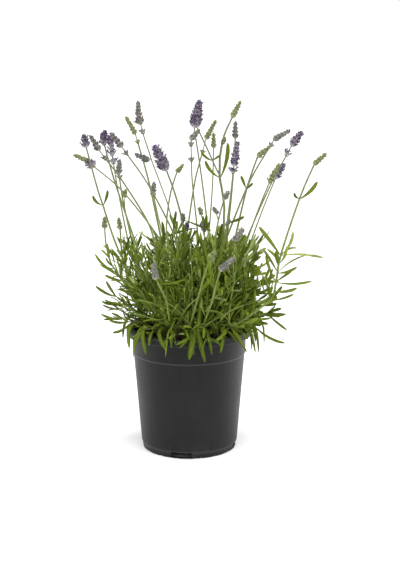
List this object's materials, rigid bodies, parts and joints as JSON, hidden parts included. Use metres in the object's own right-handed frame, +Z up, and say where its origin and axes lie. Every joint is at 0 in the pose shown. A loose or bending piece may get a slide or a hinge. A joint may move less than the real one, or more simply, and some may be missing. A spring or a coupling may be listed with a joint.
{
  "type": "potted lavender",
  "caption": "Bushy lavender plant, part in flower and part in bud, in soil in a round black plastic nursery pot.",
  "frame": {"origin": "centre of the pot's foot, on the surface the pot stands on", "axes": "+Z up along the pot's axis, -Y towards the front of the plant, +X to the right seen from the front"},
  "size_m": [0.334, 0.2812, 0.4692],
  "materials": {
    "pot_plastic": "satin moulded polypropylene, near black",
    "soil": "rough, loose peat and bark",
    "leaf": "matte green leaves and stalks, paler beneath",
    "violet_flower": "soft matte, deep violet",
    "faded_flower": "soft matte, greyish violet",
    "green_bud": "soft matte, green buds"
  },
  "bodies": {
    "root": {"pot": "pot_plastic", "potting_soil": "soil", "leafy_stem_01": "leaf", "leafy_stem_02": "leaf", "leafy_stem_03": "leaf", "leafy_stem_04": "leaf", "leafy_stem_05": "leaf", "leafy_stem_06": "leaf", "leafy_stem_07": "leaf", "leafy_stem_08": "leaf", "leafy_stem_09": "leaf", "leafy_stem_10": "leaf", "leafy_stem_11": "leaf", "leafy_stem_12": "leaf", "leafy_stem_13": "leaf", "leafy_stem_14": "leaf", "leafy_stem_15": "leaf", "leafy_stem_16": "leaf", "leafy_stem_17": "leaf", "leafy_stem_18": "leaf", "leafy_stem_19": "leaf", "leafy_stem_20": "leaf", "leafy_stem_21": "leaf", "leafy_stem_22": "leaf", "leafy_stem_23": "leaf", "flower_head_01": "violet_flower", "flower_head_02": "green_bud", "flower_head_03": "green_bud", "flower_head_04": "faded_flower", "flower_head_05": "violet_flower", "flower_head_06": "violet_flower", "flower_head_07": "faded_flower", "flower_head_08": "faded_flower", "flower_head_09": "green_bud", "flower_head_10": "faded_flower", "flower_head_11": "faded_flower", "flower_head_12": "faded_flower", "flower_head_13": "violet_flower", "flower_head_14": "green_bud", "flower_head_15": "violet_flower", "flower_head_16": "green_bud", "flower_head_17": "violet_flower", "flower_head_18": "faded_flower", "flower_head_19": "green_bud", "flower_head_20": "green_bud", "flower_head_21": "faded_flower", "flower_head_22": "violet_flower", "flower_head_23": "faded_flower", "flower_head_24": "faded_flower", "flower_head_25": "green_bud", "flower_head_26": "violet_flower", "flower_head_27": "violet_flower", "flower_head_28": "green_bud", "flower_head_29": "green_bud", "flower_head_30": "faded_flower", "flower_head_31": "faded_flower", "flower_head_32": "faded_flower", "flower_head_33": "green_bud", "flower_head_34": "green_bud"}
  },
  "joints": []
}
